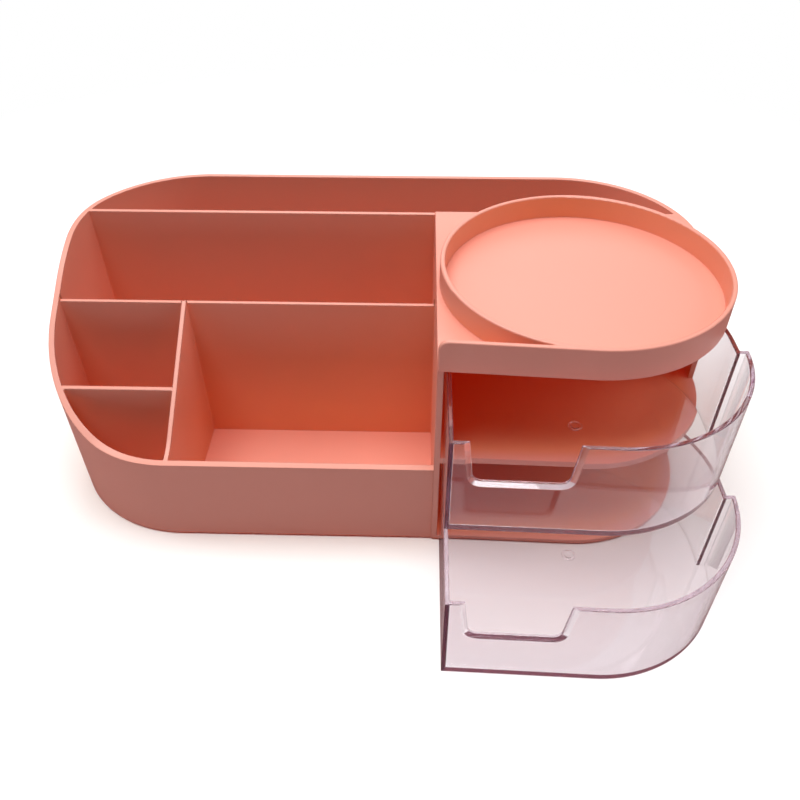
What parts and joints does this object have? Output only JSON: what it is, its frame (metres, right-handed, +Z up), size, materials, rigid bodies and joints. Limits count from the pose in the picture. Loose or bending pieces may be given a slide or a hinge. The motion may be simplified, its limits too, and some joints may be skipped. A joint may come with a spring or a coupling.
{
  "type": "desk organizer with drawers",
  "caption": "Desk organizer with an S-shaped rim, open wells of stepped height, a round tray on top and clear drawers that slide out of a housing with a round corner.",
  "frame": {"origin": "on the desk top, 1 mm below the middle of the body's 288 by 152 mm underside", "axes": "+X along the length from the wells to the drawer side, +Y from the front to the rear wall, +Z up"},
  "size_m": [0.288, 0.2189, 0.1112],
  "materials": {
    "body_plastic": "satin peach-pink moulded plastic",
    "clear_plastic": "clear moulded polystyrene with a faint lilac tint",
    "foot_rubber": "matt pale grey rubber"
  },
  "bodies": {
    "body": {"organizer_body": "body_plastic", "foot_front_left": "foot_rubber", "foot_front_right": "foot_rubber", "foot_rear_left": "foot_rubber", "foot_rear_right": "foot_rubber"},
    "upper_drawer_body": {"upper_drawer": "clear_plastic"},
    "lower_drawer_body": {"lower_drawer": "clear_plastic"}
  },
  "joints": [
    {"name": "upper_drawer_slide", "type": "slide", "parent": "body", "child": "upper_drawer_body", "axis": [0, -1, 0], "range_m": [-0.0367, 0.0483]},
    {"name": "lower_drawer_slide", "type": "slide", "parent": "body", "child": "lower_drawer_body", "axis": [0, -1, 0], "range_m": [-0.0657, 0.0193]}
  ]
}
